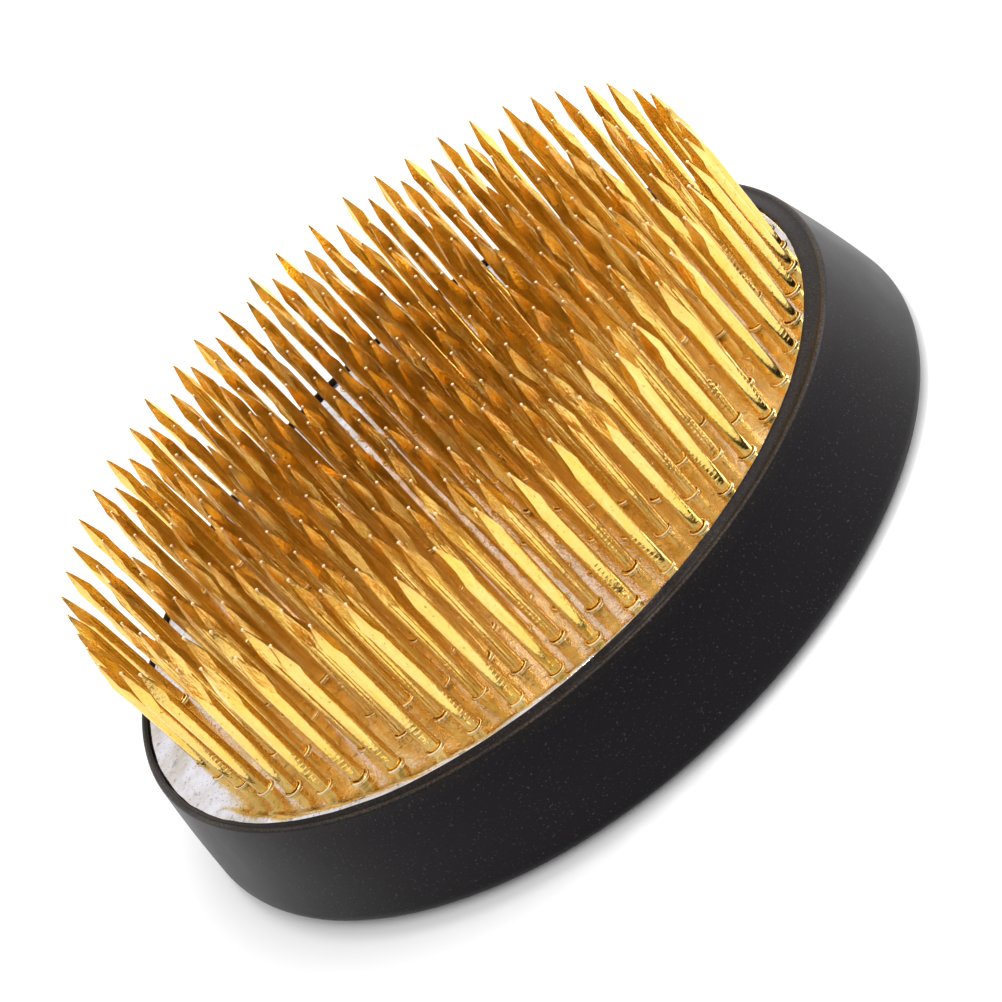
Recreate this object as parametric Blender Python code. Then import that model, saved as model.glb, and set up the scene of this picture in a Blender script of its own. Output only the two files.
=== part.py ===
"""Flower frog (kenzan): a heavy cast disc with rings of brass pins standing in it, inside a
stretched rubber ring.

Metres, +Z up. The origin is the middle of the underside, so the part rests on z = 0, and the
pins stand along +Z. Each ring of pins is one comb or several arcs of a comb: its pins share a
thin tie bar at the bottom of their roots, sunk in a groove of the casting.
"""
import math

import bmesh
import bpy

MM = 0.001

# Overall sizes.
OVERALL_HEIGHT = 25.0 * MM
RING_FOOT_RADIUS = 37.5 * MM

# Cast base: a plain disc that the pins are cast into.
BASE_RADIUS = 34.0 * MM
BASE_BOTTOM_Z = 1.8 * MM
BASE_TOP_Z = 10.3 * MM
BASE_EDGE_CHAMFER = 0.3 * MM
BASE_SEGMENTS = 40

# Pins: one in the middle and PINS_PER_STEP more in each ring than in the ring inside it. The
# pin radii are to the corners of PIN_SIDES flat sides that stand for a round wire 1.25 mm thick.
RING_COUNT = 9
PINS_PER_STEP = 6
OUTER_PIN_RADIUS = 31.7 * MM
RING_PITCH = OUTER_PIN_RADIUS / RING_COUNT
PIN_SIDES = 6
SHANK_RADIUS = 0.66 * MM
SHOULDER_RADIUS = 0.71 * MM
POINT_LENGTH = 3.8 * MM
ROOT_DEPTH = 4.0 * MM
TIE_BAR_HEIGHT = 1.0 * MM
ROOT_BOTTOM_Z = BASE_TOP_Z - ROOT_DEPTH
TIE_BAR_TOP_Z = ROOT_BOTTOM_Z + TIE_BAR_HEIGHT
SHOULDER_Z = OVERALL_HEIGHT - POINT_LENGTH

# Grooves in the casting around the pin roots, with room on both sides.
GAP = 0.3 * MM
GROOVE_HALF_WIDTH = 1.0 * MM
GROOVE_BOTTOM_Z = ROOT_BOTTOM_Z - GAP

# Rubber ring: a flared wall with a thin foot turned in under the casting.
WALL_INNER_RADIUS = BASE_RADIUS + GAP
LIP_TOP_Z = 11.2 * MM
LIP_CREST_WIDTH = 0.5 * MM
CREASE_RADIUS = 35.4 * MM
CREASE_Z = 10.8 * MM
FOOT_INNER_RADIUS = 30.0 * MM
FOOT_THICKNESS = BASE_BOTTOM_Z - GAP
FOOT_ROUND = 1.1 * MM
FOOT_ROUND_STEPS = 3
RUBBER_SEGMENTS = 72


def clear_scene():
    """Removes whatever the scene holds."""
    for obj in list(bpy.data.objects):
        bpy.data.objects.remove(obj, do_unlink=True)


def make_material(name, color, metallic, roughness):
    """A Principled material with one colour."""
    material = bpy.data.materials.new(name)
    material.use_nodes = True
    shader = material.node_tree.nodes["Principled BSDF"]
    shader.inputs["Base Color"].default_value = (*color, 1.0)
    shader.inputs["Metallic"].default_value = metallic
    shader.inputs["Roughness"].default_value = roughness
    return material


def add_object(name, mesh_data, material, parent, sharp_angle=math.radians(35)):
    """Turns a bmesh into a named object with outward normals and smooth round sides."""
    bmesh.ops.recalc_face_normals(mesh_data, faces=mesh_data.faces)
    mesh = bpy.data.meshes.new(name)
    mesh_data.to_mesh(mesh)
    mesh_data.free()
    mesh.shade_smooth()
    mesh.set_sharp_from_angle(angle=sharp_angle)
    mesh.materials.append(material)
    obj = bpy.data.objects.new(name, mesh)
    obj.parent = parent
    bpy.context.scene.collection.objects.link(obj)
    return obj


def turned_solid(profile, segments):
    """Turns a closed (radius, z) outline about Z. A radius of zero becomes one point."""
    solid = bmesh.new()
    loops = []
    for radius, z in profile:
        if radius == 0.0:
            point = solid.verts.new((0.0, 0.0, z))
            loops.append([point] * segments)
            continue
        loop = []
        for step in range(segments):
            angle = math.tau * step / segments
            loop.append(solid.verts.new((radius * math.cos(angle), radius * math.sin(angle), z)))
        loops.append(loop)
    for index, lower in enumerate(loops):
        upper = loops[(index + 1) % len(loops)]
        for step in range(segments):
            after = (step + 1) % segments
            corners = [lower[step], lower[after], upper[after], upper[step]]
            distinct = list(dict.fromkeys(corners))
            if len(distinct) > 2:
                solid.faces.new(distinct)
    return solid


def base_profile():
    """Outline of the casting: flat underside, chamfered rim, and a groove for each ring of pins."""
    outline = [
        (0.0, BASE_BOTTOM_Z),
        (BASE_RADIUS - BASE_EDGE_CHAMFER, BASE_BOTTOM_Z),
        (BASE_RADIUS, BASE_BOTTOM_Z + BASE_EDGE_CHAMFER),
        (BASE_RADIUS, BASE_TOP_Z - BASE_EDGE_CHAMFER),
        (BASE_RADIUS - BASE_EDGE_CHAMFER, BASE_TOP_Z),
    ]
    for ring in range(RING_COUNT, 0, -1):
        middle = ring * RING_PITCH
        outline.append((middle + GROOVE_HALF_WIDTH, BASE_TOP_Z))
        outline.append((middle + GROOVE_HALF_WIDTH, GROOVE_BOTTOM_Z))
        outline.append((middle - GROOVE_HALF_WIDTH, GROOVE_BOTTOM_Z))
        outline.append((middle - GROOVE_HALF_WIDTH, BASE_TOP_Z))
    outline.append((GROOVE_HALF_WIDTH, BASE_TOP_Z))
    outline.append((GROOVE_HALF_WIDTH, GROOVE_BOTTOM_Z))
    outline.append((0.0, GROOVE_BOTTOM_Z))
    return outline


def rubber_profile():
    """Outline of the rubber ring: foot, rounded lower edge, flared wall, sloping lip."""
    outline = [
        (WALL_INNER_RADIUS, FOOT_THICKNESS),
        (FOOT_INNER_RADIUS, FOOT_THICKNESS),
        (FOOT_INNER_RADIUS, 0.0),
    ]
    round_centre = RING_FOOT_RADIUS - FOOT_ROUND
    for step in range(FOOT_ROUND_STEPS + 1):
        angle = math.radians(-90) + math.radians(90) * step / FOOT_ROUND_STEPS
        radius = round_centre + FOOT_ROUND * math.cos(angle)
        outline.append((radius, FOOT_ROUND + FOOT_ROUND * math.sin(angle)))
    outline.append((CREASE_RADIUS, CREASE_Z))
    outline.append((WALL_INNER_RADIUS + LIP_CREST_WIDTH, LIP_TOP_Z))
    outline.append((WALL_INNER_RADIUS, LIP_TOP_Z))
    return outline


def pin_loop(solid, ring_radius, angle, pin_radius, z):
    """One level of a pin: PIN_SIDES points, the first of them facing away from the middle."""
    centre_x = ring_radius * math.cos(angle)
    centre_y = ring_radius * math.sin(angle)
    loop = []
    for side in range(PIN_SIDES):
        turn = angle + math.tau * side / PIN_SIDES
        x = centre_x + pin_radius * math.cos(turn)
        y = centre_y + pin_radius * math.sin(turn)
        loop.append(solid.verts.new((x, y, z)))
    return loop


def add_pin(solid, ring_radius, angle, tied_ahead, tied_behind):
    """A pin with a root, a shank and a point. A tied side is left open below the bar's top."""
    root = pin_loop(solid, ring_radius, angle, SHANK_RADIUS, ROOT_BOTTOM_Z)
    tie = pin_loop(solid, ring_radius, angle, SHANK_RADIUS, TIE_BAR_TOP_Z)
    shoulder = pin_loop(solid, ring_radius, angle, SHOULDER_RADIUS, SHOULDER_Z)
    tip_place = (ring_radius * math.cos(angle), ring_radius * math.sin(angle), OVERALL_HEIGHT)
    tip = solid.verts.new(tip_place)
    open_sides = set()
    if tied_ahead:
        open_sides.add(1)
    if tied_behind:
        open_sides.add(4)
    for side in range(PIN_SIDES):
        after = (side + 1) % PIN_SIDES
        if side not in open_sides:
            solid.faces.new((root[side], root[after], tie[after], tie[side]))
        solid.faces.new((tie[side], tie[after], shoulder[after], shoulder[side]))
        solid.faces.new((shoulder[side], shoulder[after], tip))
    solid.faces.new(list(reversed(root)))
    return root, tie


def add_tie_bar(solid, pin, next_pin):
    """The bar between the facing sides of two neighbouring roots."""
    root, tie = pin
    next_root, next_tie = next_pin
    near = (root[1], root[2], tie[2], tie[1])
    far = (next_root[5], next_root[4], next_tie[4], next_tie[5])
    for corner in range(4):
        after = (corner + 1) % 4
        solid.faces.new((near[corner], near[after], far[after], far[corner]))


def pin_comb(ring, first, count):
    """Part of a ring of pins, from pin number first, joined by tie bars. All of them close up."""
    pins_in_ring = ring * PINS_PER_STEP
    closed = count == pins_in_ring
    solid = bmesh.new()
    pins = []
    for index in range(count):
        angle = math.tau * (first + index) / pins_in_ring
        tied_ahead = closed or index < count - 1
        tied_behind = closed or index > 0
        pins.append(add_pin(solid, ring * RING_PITCH, angle, tied_ahead, tied_behind))
    for index in range(count if closed else count - 1):
        add_tie_bar(solid, pins[index], pins[(index + 1) % count])
    return solid


def arcs_in_ring(ring):
    """The inner rings are one comb each, the next ones three arcs, the outer ones six."""
    if ring <= 3:
        return 1
    if ring <= 6:
        return 3
    return 6


def build_pins(material, parent):
    """The middle pin and every ring of pins around it."""
    middle = bmesh.new()
    add_pin(middle, 0.0, 0.0, False, False)
    add_object("centre_pin", middle, material, parent)
    for ring in range(1, RING_COUNT + 1):
        arcs = arcs_in_ring(ring)
        pins_in_arc = ring * PINS_PER_STEP // arcs
        for arc in range(arcs):
            name = f"pin_ring_{ring}" if arcs == 1 else f"pin_ring_{ring}_arc_{arc + 1}"
            comb = pin_comb(ring, arc * pins_in_arc, pins_in_arc)
            add_object(name, comb, material, parent)


def build():
    clear_scene()
    brass = make_material("brass", (0.83, 0.58, 0.20), 1.0, 0.20)
    lead_alloy = make_material("lead_alloy", (0.76, 0.75, 0.79), 1.0, 0.25)
    rubber = make_material("black_rubber", (0.035, 0.034, 0.036), 0.0, 0.55)
    frog = bpy.data.objects.new("flower_frog", None)
    bpy.context.scene.collection.objects.link(frog)
    add_object("base_casting", turned_solid(base_profile(), BASE_SEGMENTS), lead_alloy, frog)
    add_object("rubber_ring", turned_solid(rubber_profile(), RUBBER_SEGMENTS), rubber, frog)
    build_pins(brass, frog)


build()
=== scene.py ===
"""Looks of the flower frog: brass pins, mirror-like lead alloy casting and black rubber ring.

Every piece is built in metres in the frame's own coordinates: origin in the middle of the
underside, +Z up, pins along +Z.
"""

import math
import random

import bpy
import numpy as np
from mathutils import Matrix, Vector, noise


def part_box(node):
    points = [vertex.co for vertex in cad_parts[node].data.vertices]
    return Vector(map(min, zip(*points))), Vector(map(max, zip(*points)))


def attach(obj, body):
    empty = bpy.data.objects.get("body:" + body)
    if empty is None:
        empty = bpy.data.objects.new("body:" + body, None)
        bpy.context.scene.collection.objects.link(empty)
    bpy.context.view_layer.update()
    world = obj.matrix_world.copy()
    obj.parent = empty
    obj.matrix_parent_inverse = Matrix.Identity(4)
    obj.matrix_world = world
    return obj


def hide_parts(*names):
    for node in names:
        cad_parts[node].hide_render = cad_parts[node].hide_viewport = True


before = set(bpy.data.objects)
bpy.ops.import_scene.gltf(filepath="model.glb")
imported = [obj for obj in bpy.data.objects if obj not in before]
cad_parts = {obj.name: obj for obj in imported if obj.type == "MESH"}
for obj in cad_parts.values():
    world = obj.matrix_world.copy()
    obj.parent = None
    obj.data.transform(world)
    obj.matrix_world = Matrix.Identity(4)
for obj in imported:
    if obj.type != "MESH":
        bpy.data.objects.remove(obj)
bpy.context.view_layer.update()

MM = 0.001
FACE_RISE = 0.15 * MM
TOP_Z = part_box("base_casting")[1].z + FACE_RISE
TIP_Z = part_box("centre_pin")[1].z
RING_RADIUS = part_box("rubber_ring")[1].x

# Pins. Those in the middle end a little lower than those at the rim.
RING_COUNT = 9
PINS_PER_STEP = 6
OUTER_PIN_RADIUS = 31.85 * MM
WIRE_RADIUS = 0.605 * MM
COLUMNS = 16
ROOT_DEPTH = 0.9 * MM
MIDDLE_DROP = 0.45 * MM
TIP_ALLOWANCE = 0.2 * MM
GRIP_TEETH = 9
TOOTH_PITCH = 0.43 * MM
NOTCH_HEIGHT = 0.10 * MM
HALF_NOTCH_HEIGHT = 0.26 * MM
FOOT_GAP = 0.12 * MM
SHOULDER_LENGTH = 0.5 * MM
TINTED_LENGTH = 1.5 * MM
FACET_STEPS = (0.16, 0.34, 0.52, 0.70, 0.85, 0.95, 1.0)
SHOULDER_STEPS = (0.35, 0.7, 1.0)
COLLAR_SIDES = 6
NUB_DEGREES = (25, 52, 75)

# Casting: a flat face, then a narrow silvery bead up to the edge.
CASTING_COLUMNS = 288
CASTING_EDGE = 34.35 * MM
UNDERSIDE_RADIUS = 33.3 * MM
TOP_ROWS = 52
UNDERSIDE_ROWS = 20
CASTING_SHIFT = 1.1 * MM
SHIFT_START = 32.0 * MM
SHIFT_WIDTH = 2.3 * MM
WAVY_FROM = 33.0 * MM
BEAD_START = 33.35 * MM
BEAD_RISE_WIDTH = 0.5 * MM
BEAD_FALL_WIDTH = 0.5 * MM
BEAD_DIRECTION = math.radians(-112)

# Rubber ring: its lip is stretched a little towards -X. These are in millimetres, for an outline
# whose foot has a radius of OUTLINE_FOOT.
RUBBER_COLUMNS = 360
OUTLINE_FOOT = 37.5
LIP_HEIGHT = 11.2
LIP_BOTTOM = 10.0
LIP_INSIDE = 34.9
LIP_SHIFT = 0.95
LIP_PULL = math.radians(-15)
WORN_SIDE = math.radians(25)

# Floor and camera. The aim is off the picture's middle by these shares of its width.
FLOOR_HALF = 4.0
FLOOR_GAP = 0.02 * MM
SENSOR = 36.0
FOCAL_LENGTH = 92.982036
CAMERA_DISTANCE = 220.8 * MM
CAMERA_ELEVATION = math.radians(27.87)
CAMERA_ROLL = math.radians(-42.68)
CAMERA_AZIMUTH = math.radians(-1.4)
AIM_ACROSS = 0.04424152
AIM_UP = 0.05896208


# ---------------------------------------------------------------- materials
class Nodes:
    """A short way to write a material's node tree."""

    def __init__(self, tree):
        self.tree = tree

    def add(self, kind, **settings):
        node = self.tree.nodes.new(kind)
        for key, value in settings.items():
            setattr(node, key, value)
        return node

    def link(self, source, target):
        self.tree.links.new(source, target)

    def math(self, operation, a, b=None):
        node = self.add("ShaderNodeMath", operation=operation)
        for index, value in enumerate((a, b)):
            if value is None:
                continue
            if isinstance(value, (int, float)):
                node.inputs[index].default_value = value
            else:
                self.link(value, node.inputs[index])
        return node.outputs[0]

    def times(self, a, b):
        return self.math("MULTIPLY", a, b)

    def spots(self, coordinates, scale, stretch=(1, 1, 1), detail=3.0, roughness=0.55):
        mapping = self.add("ShaderNodeMapping")
        mapping.inputs["Scale"].default_value = stretch
        self.link(coordinates, mapping.inputs["Vector"])
        texture = self.add("ShaderNodeTexNoise")
        texture.inputs["Scale"].default_value = scale
        texture.inputs["Detail"].default_value = detail
        texture.inputs["Roughness"].default_value = roughness
        self.link(mapping.outputs[0], texture.inputs["Vector"])
        return texture.outputs["Fac"]

    def span(self, value, low, high, out_low=0.0, out_high=1.0):
        node = self.add("ShaderNodeMapRange")
        node.inputs["From Min"].default_value = low
        node.inputs["From Max"].default_value = high
        node.inputs["To Min"].default_value = out_low
        node.inputs["To Max"].default_value = out_high
        self.link(value, node.inputs["Value"])
        return node.outputs["Result"]

    def mix(self, factor, a, b):
        node = self.add("ShaderNodeMix", data_type="RGBA")
        for value, socket in ((factor, node.inputs[0]), (a, node.inputs[6]), (b, node.inputs[7])):
            if isinstance(value, (int, float)):
                socket.default_value = value
            elif isinstance(value, tuple):
                socket.default_value = (*value, 1.0)
            else:
                self.link(value, socket)
        return node.outputs[2]

    def bump(self, height, distance, strength, normal=None):
        node = self.add("ShaderNodeBump")
        node.inputs["Distance"].default_value = distance
        node.inputs["Strength"].default_value = strength
        self.link(height, node.inputs["Height"])
        if normal is not None:
            self.link(normal, node.inputs["Normal"])
        return node.outputs[0]


def new_material(name, metallic, ior=1.45, specular=0.5):
    """A Principled material, its node helper, its shader and its object coordinates."""
    material = bpy.data.materials.new(name)
    material.use_nodes = True
    nodes = Nodes(material.node_tree)
    shader = material.node_tree.nodes["Principled BSDF"]
    shader.inputs["Metallic"].default_value = metallic
    shader.inputs["IOR"].default_value = ior
    shader.inputs["Specular IOR Level"].default_value = specular
    coordinates = nodes.add("ShaderNodeTexCoord").outputs["Object"]
    return material, nodes, shader, coordinates


def brass_material():
    """Yellow brass with draw lines and pits, browner at the tips, paler in collars and with a
    painted pale glint in the nubs.
    """
    material, nodes, shader, place = new_material("polished_brass", 1.0)
    tone = nodes.spots(place, 900.0, (1, 1, 0.25))
    draw = nodes.spots(place, 4200.0, (1, 1, 0.03), detail=2.0)
    pits = nodes.spots(place, 4600.0, (1, 1, 0.7), detail=2.0)
    dirt = nodes.spots(place, 2600.0, (1, 1, 0.5), detail=4.0, roughness=0.7)
    height = nodes.add("ShaderNodeAttribute", attribute_name="tip").outputs["Fac"]
    collar = nodes.add("ShaderNodeAttribute", attribute_name="collar").outputs["Fac"]
    painted_nub_glint = nodes.add("ShaderNodeAttribute", attribute_name="painted_nub_glint").outputs["Fac"]
    gold = nodes.mix(nodes.span(tone, 0.35, 0.68), (0.94, 0.655, 0.225), (0.89, 0.590, 0.120))
    streak = nodes.span(draw, 0.40, 0.66)
    gold = nodes.mix(nodes.times(streak, 0.40), gold, (0.82, 0.50, 0.09))
    speck = nodes.span(pits, 0.63, 0.73)
    gold = nodes.mix(nodes.times(speck, 0.75), gold, (0.24, 0.11, 0.02))
    stain = nodes.times(nodes.span(dirt, 0.50, 0.74), 0.42)
    gold = nodes.mix(stain, gold, (0.62, 0.36, 0.08))
    gold = nodes.mix(nodes.times(height, 0.55), gold, (0.50, 0.25, 0.10))
    # Painted highlight: the nubs at the pin tips are lightened towards a pale glint colour.
    gold = nodes.mix(nodes.times(painted_nub_glint, 0.8), gold, (1.0, 0.78, 0.48))
    gold = nodes.mix(nodes.times(collar, 0.85), gold, (0.95, 0.77, 0.42))
    nodes.link(gold, shader.inputs["Base Color"])
    rough = nodes.span(dirt, 0.35, 0.75, 0.13, 0.25)
    rough = nodes.math("ADD", rough, nodes.times(painted_nub_glint, 0.12))
    nodes.link(rough, shader.inputs["Roughness"])
    lines = nodes.bump(draw, 0.03 * MM, 0.45)
    nodes.link(nodes.bump(pits, 0.06 * MM, 0.36, lines), shader.inputs["Normal"])
    return material


def alloy_material():
    """Mirror-like grey alloy with warm clouds, dark specks and blots."""
    material, nodes, shader, place = new_material("lead_tin_alloy", 1.0)
    cloud = nodes.spots(place, 260.0, detail=4.0, roughness=0.6)
    grain = nodes.spots(place, 2400.0, detail=4.0, roughness=0.7)
    specks = nodes.spots(place, 2600.0, detail=3.0, roughness=0.65)
    tone = nodes.mix(nodes.span(cloud, 0.35, 0.65), (0.84, 0.825, 0.89), (0.60, 0.54, 0.46))
    tone = nodes.mix(nodes.times(nodes.span(specks, 0.60, 0.68), 0.75), tone,
                     (0.26, 0.24, 0.25))
    blots = nodes.spots(place, 800.0, detail=4.0, roughness=0.75)
    tone = nodes.mix(nodes.times(nodes.span(blots, 0.60, 0.66), 0.6), tone,
                     (0.24, 0.23, 0.21))
    nodes.link(tone, shader.inputs["Base Color"])
    nodes.link(nodes.span(grain, 0.3, 0.7, 0.02, 0.08), shader.inputs["Roughness"])
    wave = nodes.bump(grain, 0.04 * MM, 0.35)
    nodes.link(nodes.bump(specks, 0.05 * MM, 0.35, wave), shader.inputs["Normal"])
    return material


def rubber_material():
    """Matt black rubber, dusty all over, with a brown painted highlight along the lip's bead."""
    material, nodes, shader, place = new_material("black_rubber", 0.0, 1.45, 0.17)
    cloud = nodes.spots(place, 120.0, detail=4.0)
    dust = nodes.spots(place, 4800.0, detail=1.5)
    grain = nodes.spots(place, 5200.0, detail=3.0)
    bead = nodes.add("ShaderNodeAttribute", attribute_name="bead").outputs["Fac"]
    shader.inputs["Specular Tint"].default_value = (1.0, 0.93, 0.99, 1.0)
    tone = nodes.mix(cloud, (0.0024, 0.0021, 0.0026), (0.0046, 0.0040, 0.0048))
    # Painted highlight: a brown tint along the lip's bead, broken up by grain, stands in for the
    # bead's highlight line.
    wear_and_painted_highlight = nodes.times(bead, nodes.span(grain, 0.40, 0.62, 0.25, 1.0))
    tone = nodes.mix(nodes.times(wear_and_painted_highlight, 0.95), tone, (0.085, 0.064, 0.046))
    speck = nodes.span(dust, 0.64, 0.74)
    tone = nodes.mix(nodes.times(speck, 0.16), tone, (0.20, 0.20, 0.21))
    nodes.link(tone, shader.inputs["Base Color"])
    nodes.link(nodes.span(cloud, 0.3, 0.7, 0.34, 0.44), shader.inputs["Roughness"])
    nodes.link(nodes.bump(grain, 0.03 * MM, 0.35), shader.inputs["Normal"])
    return material


# ---------------------------------------------------------------- meshes
def add_piece(name, points, faces, material, stands_for):
    """A smooth mesh piece that rides on the root body and stands for CAD nodes."""
    mesh = bpy.data.meshes.new(name)
    mesh.from_pydata(points, [], faces)
    mesh.update()
    mesh.shade_smooth()
    mesh.materials.append(material)
    obj = bpy.data.objects.new(name, mesh)
    bpy.context.scene.collection.objects.link(obj)
    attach(obj, "root")
    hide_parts(*stands_for)
    return obj


def set_point_values(obj, name, values):
    """Stores a number on each of the mesh's points, for its material to read."""
    attribute = obj.data.attributes.new(name, "FLOAT", "POINT")
    attribute.data.foreach_set("value", np.asarray(values, np.float32))


def set_sharp(mesh, is_sharp):
    """Marks the edges for which is_sharp(first points, second points) holds."""
    pairs = np.zeros(len(mesh.edges) * 2, np.int32)
    mesh.edges.foreach_get("vertices", pairs)
    pairs = pairs.reshape(-1, 2)
    flags = is_sharp(pairs[:, 0], pairs[:, 1])
    attribute = mesh.attributes.new("sharp_edge", "BOOLEAN", "EDGE")
    attribute.data.foreach_set("value", flags)


# Levels of one pin, from its root up: root, foot, gripper teeth, plain shank, shoulder, facets
# and nub.
TOOTH_LEVELS = 3
FIRST_TOOTH = 2
LAST_TOOTH = FIRST_TOOTH + GRIP_TEETH * TOOTH_LEVELS
SHOULDER_START = LAST_TOOTH + 1
BOUNDARY = SHOULDER_START + len(SHOULDER_STEPS)
FACET_END = BOUNDARY + len(FACET_STEPS)
LEVELS = FACET_END + len(NUB_DEGREES) + 1
PIN_POINTS = LEVELS * COLUMNS + 1
COLLAR_POINTS = COLUMNS * COLLAR_SIDES
POINTS_PER_PIN = PIN_POINTS + COLLAR_POINTS


def pin_faces():
    """Faces of one pin and its collar, with points numbered from zero."""
    faces = [tuple(reversed(range(COLUMNS)))]
    for level in range(LEVELS - 1):
        for column in range(COLUMNS):
            after = (column + 1) % COLUMNS
            low = level * COLUMNS
            high = low + COLUMNS
            faces.append((low + column, low + after, high + after, high + column))
    top = (LEVELS - 1) * COLUMNS
    for column in range(COLUMNS):
        faces.append((top + column, top + (column + 1) % COLUMNS, LEVELS * COLUMNS))
    for column in range(COLUMNS):
        after = (column + 1) % COLUMNS
        for side in range(COLLAR_SIDES):
            up = (side + 1) % COLLAR_SIDES
            here = PIN_POINTS + column * COLLAR_SIDES
            there = PIN_POINTS + after * COLLAR_SIDES
            faces.append((here + side, there + side, there + up, here + up))
    return faces


def pin_is_sharp(first, second):
    """Edges of the gripper teeth, of the facets' outlines and of the point's four corners."""
    a = first % POINTS_PER_PIN
    b = second % POINTS_PER_PIN
    level_a, level_b = a // COLUMNS, b // COLUMNS
    on_pin = (a < PIN_POINTS - 1) & (b < PIN_POINTS - 1)
    around = level_a == level_b
    tooth = around & (level_a >= FIRST_TOOTH) & (level_a <= LAST_TOOTH)
    outline = around & (level_a == BOUNDARY)
    column = a % COLUMNS
    corner = (column % 4 == 2) & (b % COLUMNS == column)
    corner &= np.minimum(level_a, level_b) >= BOUNDARY
    corner &= np.maximum(level_a, level_b) <= FACET_END
    return on_pin & (tooth | outline | corner)


def grip_notches(draw, radius):
    """Radii round a pin in the bottom of a tooth's notch, and a little way out of it."""
    middle = draw.randrange(COLUMNS)
    depth = draw.uniform(0.030, 0.055) * MM
    notch = np.full(COLUMNS, radius)
    half_notch = np.full(COLUMNS, radius)
    for step in (-1, 0, 1):
        across = math.cos(math.tau * step / COLUMNS)
        for opposite in (0, COLUMNS // 2):
            column = (middle + step + opposite) % COLUMNS
            notch[column] = min(radius, (radius - depth) / across)
            half_notch[column] = min(radius, (radius - 0.75 * depth) / across)
    return notch, half_notch


def pin_body(draw, tip_z):
    """Points of one pin on its own axis, and how far each is tinted as part of the tip."""
    turn = draw.uniform(0, math.tau)
    facet = math.tau * np.arange(COLUMNS) / COLUMNS
    square = np.maximum(np.abs(np.cos(facet)), np.abs(np.sin(facet)))
    corner = (1 - square) / (1 - math.sqrt(0.5))
    side = np.sign(np.abs(np.cos(facet)) - np.abs(np.sin(facet)) + 1e-6)
    point_length = draw.uniform(3.7, 4.7) * MM
    tip_half = draw.uniform(0.080, 0.105) * MM
    bulge = draw.uniform(1.2, 1.5)
    wing = draw.uniform(0.02, 0.10)
    radius = WIRE_RADIUS * draw.uniform(0.985, 1.02)
    flat = 1.0 + draw.uniform(-0.10, 0.10) * side
    grip_start = TOP_Z + draw.uniform(0.35, 1.1) * MM
    notch, half_notch = grip_notches(draw, radius)
    nub_radius = draw.uniform(0.140, 0.175) * MM
    shoulder_z = tip_z - point_length
    heights = []
    radii = []

    def level(z, r):
        heights.append(np.broadcast_to(np.asarray(z, float), (COLUMNS,)))
        radii.append(np.broadcast_to(np.asarray(r, float), (COLUMNS,)))

    level(TOP_Z - ROOT_DEPTH, radius)
    level(grip_start - FOOT_GAP, radius)
    for tooth in range(GRIP_TEETH):
        z = grip_start + tooth * TOOTH_PITCH
        level(z, radius)
        level(z + NOTCH_HEIGHT, notch)
        level(z + HALF_NOTCH_HEIGHT, half_notch)
    level(grip_start + GRIP_TEETH * TOOTH_PITCH, radius)
    start = shoulder_z - SHOULDER_LENGTH
    level(start, radius)
    edge = ((radius - radius * square) / (radius - tip_half)) ** (1 / bulge)
    edge_z = shoulder_z + point_length * edge
    for step in SHOULDER_STEPS:
        level(start + (edge_z - start) * step, radius * (1 + wing * corner * step))
    for step in FACET_STEPS:
        along = edge + (1 - edge) * step
        half = tip_half + (radius - tip_half) * (1 - along ** bulge)
        rounding = max(0.0, (step - 0.8) / 0.2) ** 2
        shape = square + (1 - square) * rounding
        swell = 1 + wing * corner * (1 - step) ** 1.5
        thin = 1 + (flat - 1) * step * (1 - rounding)
        level(shoulder_z + point_length * along, half / shape * swell * thin)
    for degrees in NUB_DEGREES:
        angle = math.radians(degrees)
        level(tip_z + nub_radius * (0.25 + math.sin(angle)), nub_radius * math.cos(angle))

    r = np.array(radii)
    x = np.append((r * np.cos(turn + facet)).ravel(), 0.0)
    y = np.append((r * np.sin(turn + facet)).ravel(), 0.0)
    z = np.append(np.array(heights).ravel(), tip_z + nub_radius * 1.27)
    rise = np.clip((z - TOP_Z) / (tip_z - TOP_Z), 0.0, 1.1)
    hook = np.clip((z - shoulder_z) / point_length, 0.0, 1.1) ** 2
    lean_x, lean_y = (draw.gauss(0, 0.21) * MM for _ in range(2))
    bow_x, bow_y = (draw.gauss(0, 0.05) * MM for _ in range(2))
    bend_x, bend_y = (draw.gauss(0, 0.035) * MM for _ in range(2))
    x += lean_x * rise + bow_x * np.sin(math.pi * rise) + bend_x * hook
    y += lean_y * rise + bow_y * np.sin(math.pi * rise) + bend_y * hook
    tint = np.clip((z - tip_z + TINTED_LENGTH) / TINTED_LENGTH, 0.0, 1.0) ** 1.5
    return np.stack([x, y, z], 1), tint


def pin_collar(draw):
    """Points of the uneven little collar of alloy where a pin comes out of the casting."""
    collar_radius = WIRE_RADIUS + draw.uniform(0.08, 0.17) * MM
    phase = draw.uniform(0, math.tau)
    points = []
    for column in range(COLUMNS):
        around = math.tau * column / COLUMNS
        tube = (0.105 + 0.035 * math.sin(around + phase) + draw.uniform(-0.02, 0.02)) * MM
        for side in range(COLLAR_SIDES):
            angle = math.tau * side / COLLAR_SIDES
            out = collar_radius + tube * math.cos(angle)
            points.append((out * math.cos(around), out * math.sin(around),
                           TOP_Z + 0.05 * MM + tube * math.sin(angle)))
    return np.array(points)


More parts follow.
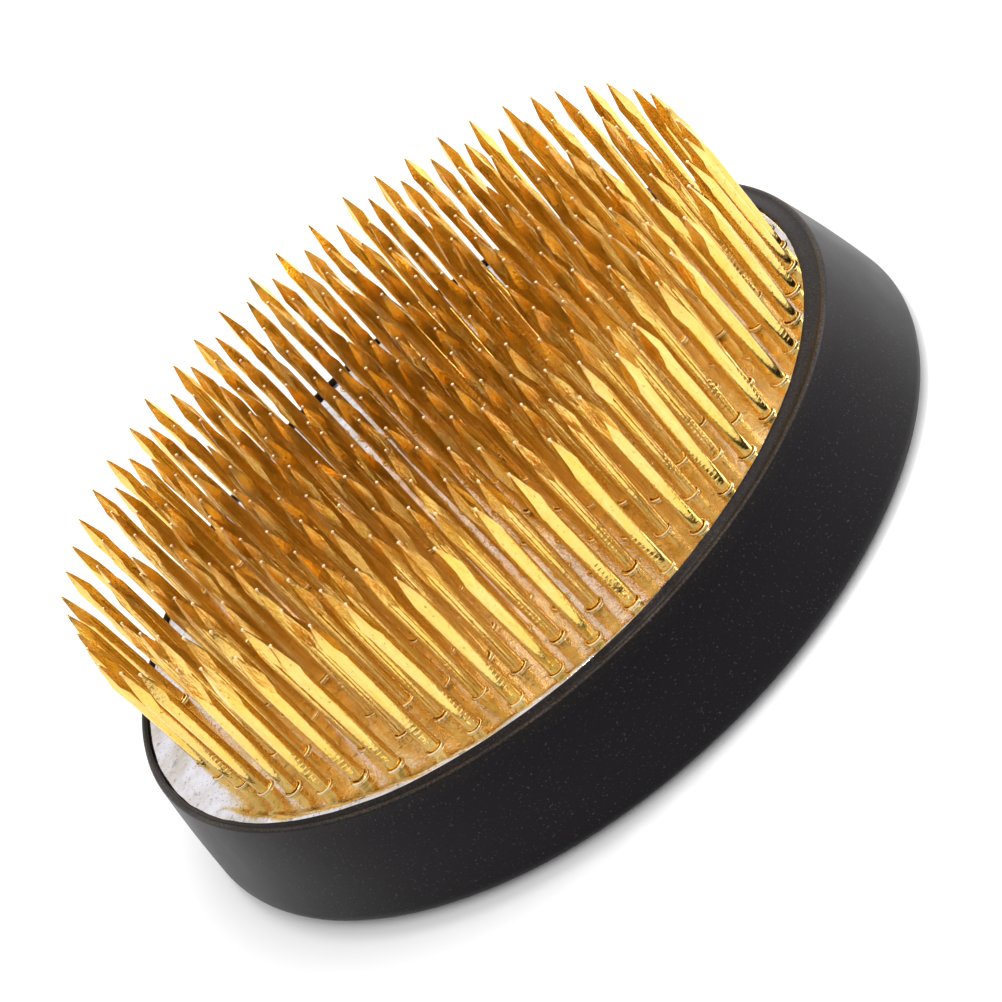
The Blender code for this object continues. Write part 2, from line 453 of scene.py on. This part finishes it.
def one_pin(draw, centre, tip_z):
    """Points of a pin and its collar, with the values that the brass material reads."""
    body, tint = pin_body(draw, tip_z)
    points = np.concatenate([body, pin_collar(draw)])
    points[:, 0] += centre[0]
    points[:, 1] += centre[1]
    values = {name: np.zeros(POINTS_PER_PIN) for name in ("tip", "painted_nub_glint", "collar")}
    values["tip"][:PIN_POINTS] = tint
    # Marks the nub points, where the brass material paints a pale glint.
    values["painted_nub_glint"][FACET_END * COLUMNS:PIN_POINTS] = 1.0
    values["collar"][PIN_POINTS:] = 1.0
    return points, values


def pin_nodes(ring):
    """Names of the CAD nodes that hold a ring of pins, in order round the ring."""
    if ring == 0:
        return ["centre_pin"]
    if ring <= 3:
        return [f"pin_ring_{ring}"]
    arcs = 3 if ring <= 6 else 6
    return [f"pin_ring_{ring}_arc_{arc + 1}" for arc in range(arcs)]


def build_pins(material):
    """Nine rings of pins round a middle one; one piece for each CAD node."""
    template = pin_faces()
    draw = random.Random(271)
    for ring in range(RING_COUNT + 1):
        count = max(1, ring * PINS_PER_STEP)
        nodes = pin_nodes(ring)
        share = count // len(nodes)
        distance = OUTER_PIN_RADIUS * ring / RING_COUNT
        drop = MIDDLE_DROP * (1 - (ring / RING_COUNT) ** 2)
        for index, node in enumerate(nodes):
            pins = []
            faces = []
            for pin in range(share):
                angle = math.tau * (index * share + pin) / count
                angle += draw.gauss(0, 0.0025)
                reach = distance + draw.gauss(0, 0.06) * MM
                centre = (reach * math.cos(angle), reach * math.sin(angle))
                tip_z = TIP_Z - TIP_ALLOWANCE - drop - abs(draw.gauss(0, 0.12)) * MM
                shift = len(pins) * POINTS_PER_PIN
                pins.append(one_pin(draw, centre, tip_z))
                faces += [tuple(corner + shift for corner in face) for face in template]
            points = np.concatenate([points for points, _ in pins]).tolist()
            piece = add_piece("brass_" + node, points, faces, material, [node])
            set_sharp(piece.data, pin_is_sharp)
            for name in ("tip", "painted_nub_glint", "collar"):
                set_point_values(piece, name, np.concatenate([values[name] for _, values in pins]))


def turned_faces(rows, columns):
    """Quads between rows of points round Z; the last row joins the first."""
    faces = []
    for row in range(rows):
        low = row * columns
        high = (row + 1) % rows * columns
        for column in range(columns):
            after = (column + 1) % columns
            faces.append((low + column, low + after, high + after, high + column))
    return faces


def ripple(x, y, z, size, seed):
    """Smooth noise of about -1 to 1 with features of that size."""
    return noise.noise(Vector((x / size + seed, y / size, z / size)))


def clamped(value):
    """The value, held between 0 and 1."""
    return min(1.0, max(0.0, value))


def casting_rows(bottom):
    """Circles of the casting from the top's middle to the underside's.

    Each has its radius and height, how uneven it is, and its share of the rim bead's height.
    """
    rows = []
    for step in range(1, TOP_ROWS + 1):
        rows.append((BEAD_START * step / TOP_ROWS, TOP_Z, 1.0, 0.0))
    for share in (0.2, 0.4, 0.6, 0.8, 1.0):
        radius = BEAD_START + BEAD_RISE_WIDTH * share
        rows.append((radius, TOP_Z, 1.2, share * share * (3 - 2 * share)))
    for share in (0.35, 0.7, 1.0):
        radius = BEAD_START + BEAD_RISE_WIDTH + BEAD_FALL_WIDTH * share
        rows.append((radius, TOP_Z, 1.4, 1.0 - 0.3 * share ** 3))
    rows.append((CASTING_EDGE, TOP_Z - 0.2 * MM, 0.5, 0.0))
    rows.append((CASTING_EDGE, TOP_Z - 1.0 * MM, 0.2, 0.0))
    rows.append((CASTING_EDGE, bottom + 0.4 * MM, 0.2, 0.0))
    rows.append((CASTING_EDGE - 0.4 * MM, bottom, 0.2, 0.0))
    for step in range(UNDERSIDE_ROWS, 0, -1):
        rows.append((UNDERSIDE_RADIUS * step / UNDERSIDE_ROWS, bottom, 0.7, 0.0))
    return rows


def casting_point(radius, height, rough, ridge, angle):
    """One point of the casting, with its swells, its rim bead and its shift towards -X."""
    x = radius * math.cos(angle)
    y = radius * math.sin(angle)
    swell = 0.018 * ripple(x, y, height, 6.0 * MM, 3.0)
    swell += 0.012 * ripple(x, y, height, 1.6 * MM, 11.0)
    facing = max(0.0, math.cos(angle - BEAD_DIRECTION)) ** 6
    crest = 0.02 + 0.38 * min(1.0, 1.4 * facing)
    crest += 0.06 * ripple(x, y, 0.0, 0.9 * MM, 7.0)
    crest += 0.12 * ripple(x, y, 0.0, 3.5 * MM, 5.0)
    swell += ridge * crest
    push = 1.0
    if radius > WAVY_FROM:
        push += 0.0022 * rough * ripple(x, y, height, 2.2 * MM, 19.0)
    slide = CASTING_SHIFT * clamped((radius - SHIFT_START) / SHIFT_WIDTH)
    return x * push - slide, y * push, height + swell * MM * min(rough, 1.0)


def build_casting(material):
    """The cast disc: uneven bright top with a raised rim bead, plain side and underside."""
    columns = CASTING_COLUMNS
    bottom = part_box("base_casting")[0].z
    rows = casting_rows(bottom)
    points = [(0.0, 0.0, TOP_Z)]
    for row in rows:
        points += [casting_point(*row, math.tau * column / columns) for column in range(columns)]
    points.append((0.0, 0.0, bottom))
    faces = []
    last = len(rows) - 1
    for column in range(columns):
        after = (column + 1) % columns
        faces.append((0, 1 + column, 1 + after))
        faces.append((len(points) - 1, 1 + last * columns + after, 1 + last * columns + column))
    for row in range(last):
        low = 1 + row * columns
        high = low + columns
        for column in range(columns):
            after = (column + 1) % columns
            faces.append((low + column, high + column, high + after, low + after))
    add_piece("cast_base", points, faces, material, ["base_casting"])


def rubber_outline():
    """Radius, height and share of the painted bead highlight round the ring's section: underside,
    wall, lip, inside.
    """
    outline = []

    def point(radius, height, bead=0.0):
        outline.append((radius, height, bead))

    def arc(radius, height, size, start, end, steps, bead=0.0):
        for step in range(steps + 1):
            angle = math.radians(start + (end - start) * step / steps)
            point(radius + size * math.cos(angle), height + size * math.sin(angle), bead)

    point(34.6, 2.4)
    point(33.0, 1.5)
    point(30.8, 1.5)
    arc(30.5, 0.75, 0.72, 90, 270, 8)
    point(32.0, 0.02)
    point(34.5, 0.0)
    arc(36.15, 1.35, 1.35, -90, 8, 10)
    for step in range(1, 9):
        share = step / 9
        bow = 0.10 * math.sin(math.pi * share)
        point(37.49 - 1.93 * share + bow, 1.54 + 8.66 * share)
    arc(35.22, 10.30, 0.30, 12, 42, 2, 0.15)
    arc(35.22, 10.30, 0.30, 56, 100, 4, 1.0)
    point(35.02, 10.55, 0.2)
    point(34.82, 10.71, 0.35)
    point(34.60, 10.85, 0.35)
    arc(34.45, 10.78, 0.17, 75, 180, 5, 0.2)
    point(34.27, 10.50)
    point(34.40, 10.25)
    point(34.50, 9.6)
    point(34.60, 6.0)
    return outline


def rubber_point(radius, height, angle):
    """One point of the ring in millimetres; the lip's inside is pulled out, in and nicked."""
    x = radius * math.cos(angle)
    y = radius * math.sin(angle)
    inner = clamped((LIP_INSIDE - radius) / 0.5) * (height > LIP_BOTTOM)
    wear_and_painted_highlight = 0.5 + 0.5 * math.cos(angle - WORN_SIDE)
    nicks = max(0.0, ripple(x, y, 0.0, 0.65, 23.0) - 0.08)
    pull = math.cos(angle - LIP_PULL)
    out = 1.0 + 0.0022 * ripple(x, y, height, 18.0, 2.0) * (1 - inner)
    out += inner * (0.0016 * ripple(x, y, 0.0, 3.0, 9.0) + 0.0085 * wear_and_painted_highlight ** 3 * nicks)
    out += inner * 0.010 * max(0.0, -pull)
    out -= inner * 0.015 * max(0.0, pull) ** 2
    lift = 0.05 * ripple(x, y, 0.0, 9.0, 31.0) * (height > 9.0)
    lift -= 0.15 * max(0.0, -math.cos(angle)) * inner
    slide = LIP_SHIFT * (height / LIP_HEIGHT) ** 1.2 * (0.8 + 0.2 * (radius < LIP_INSIDE))
    return x * out - slide, y * out, height + lift


def build_rubber(material):
    """The stretched rubber ring: turned-in foot, flared wall, bead line and worn lip."""
    columns = RUBBER_COLUMNS
    outline = rubber_outline()
    scale = RING_RADIUS / (OUTLINE_FOOT * MM)
    points = []
    bead_highlight_shares = []
    for radius, height, bead in outline:
        for column in range(columns):
            angle = math.tau * column / columns
            x, y, z = rubber_point(radius, height, angle)
            points.append((x * MM * scale, y * MM * scale, z * MM))
            # Patchy strength of the painted highlight along the lip's bead.
            patches = ripple(radius * math.cos(angle), radius * math.sin(angle), 0.0, 5.0, 41.0)
            bead_highlight_shares.append(bead * (0.7 + 0.5 * patches))
    faces = turned_faces(len(outline), columns)
    ring = add_piece("stretched_rubber_ring", points, faces, material,
                     ["rubber_ring"])
    set_point_values(ring, "bead", bead_highlight_shares)


# ---------------------------------------------------------------- floor, light, camera
def build_floor():
    """A wide, nearly white floor just under the frog; it is part of the stage."""
    material, nodes, shader, place = new_material("pale_floor", 0.0)
    nodes.link(nodes.mix(nodes.spots(place, 3.0), (0.985, 0.985, 0.985), (0.995, 0.995, 0.995)),
               shader.inputs["Base Color"])
    shader.inputs["Roughness"].default_value = 0.6
    shader.inputs["Specular IOR Level"].default_value = 0.1
    size = FLOOR_HALF
    mesh = bpy.data.meshes.new("floor")
    z = -FLOOR_GAP
    mesh.from_pydata([(-size, -size, z), (size, -size, z), (size, size, z), (-size, size, z)],
                     [], [(0, 1, 2, 3)])
    mesh.materials.append(material)
    floor = bpy.data.objects.new("floor", mesh)
    bpy.context.scene.collection.objects.link(floor)


def add_light(name, place, target, size, power):
    """A round area light at one place that faces another."""
    data = bpy.data.lights.new(name, "AREA")
    data.shape = "DISK"
    data.size = size
    data.energy = power
    light = bpy.data.objects.new(name, data)
    light.location = place
    light.rotation_mode = "QUATERNION"
    light.rotation_quaternion = (Vector(target) - Vector(place)).to_track_quat("-Z", "Y")
    bpy.context.scene.collection.objects.link(light)


def build_world():
    """White backdrop behind and overhead, falling to dark grey low down in front."""
    world = bpy.data.worlds.new("studio")
    world.use_nodes = True
    nodes = Nodes(world.node_tree)
    background = world.node_tree.nodes["Background"]
    direction = nodes.add("ShaderNodeTexCoord").outputs["Generated"]
    parts = nodes.add("ShaderNodeSeparateXYZ")
    nodes.link(direction, parts.inputs[0])
    back = nodes.times(parts.outputs["Y"], 0.85)
    right = nodes.times(parts.outputs["X"], 0.15)
    high = nodes.times(parts.outputs["Z"], 1.6)
    facing = nodes.math("ADD", nodes.math("ADD", back, right), high)
    amount = nodes.span(facing, -0.75, -0.10)
    nodes.link(nodes.mix(amount, (0.10, 0.10, 0.11), (1.0, 0.99, 1.0)), background.inputs["Color"])
    background.inputs["Strength"].default_value = 1.0
    bpy.context.scene.world = world


def build_camera():
    """Looks down 27.9 degrees from the front, rolled about its own axis."""
    azimuth = Matrix.Rotation(CAMERA_AZIMUTH, 3, "Z")
    back = azimuth @ Vector((0, -math.cos(CAMERA_ELEVATION), math.sin(CAMERA_ELEVATION)))
    right = azimuth @ Vector((1, 0, 0))
    up = back.cross(right)
    across = math.cos(CAMERA_ROLL) * right + math.sin(CAMERA_ROLL) * up
    upward = -math.sin(CAMERA_ROLL) * right + math.cos(CAMERA_ROLL) * up
    picture_width = CAMERA_DISTANCE * SENSOR / FOCAL_LENGTH
    data = bpy.data.cameras.new("camera")
    data.sensor_width = SENSOR
    data.lens = FOCAL_LENGTH
    data.clip_start = 0.01
    data.clip_end = 50.0
    camera = bpy.data.objects.new("camera", data)
    camera.rotation_mode = "QUATERNION"
    camera.rotation_quaternion = Matrix((across, upward, back)).transposed().to_quaternion()
    camera.location = (back * CAMERA_DISTANCE - across * (AIM_ACROSS * picture_width)
                       + upward * (AIM_UP * picture_width))
    bpy.context.scene.collection.objects.link(camera)
    bpy.context.scene.camera = camera


bpy.context.scene.view_settings.view_transform = "Standard"
build_pins(brass_material())
build_casting(alloy_material())
build_rubber(rubber_material())
build_floor()
build_world()
add_light("overhead", (0.20, 0.12, 0.50), (0, 0, 0), 0.30, 0.65)
add_light("spark", (0.03, 0.10, 0.50), (0, 0, 0), 0.06, 0.5)
add_light("right_side", (0.60, 0.10, 0.30), (0, 0, 0.01), 0.30, 1.6)
build_camera()
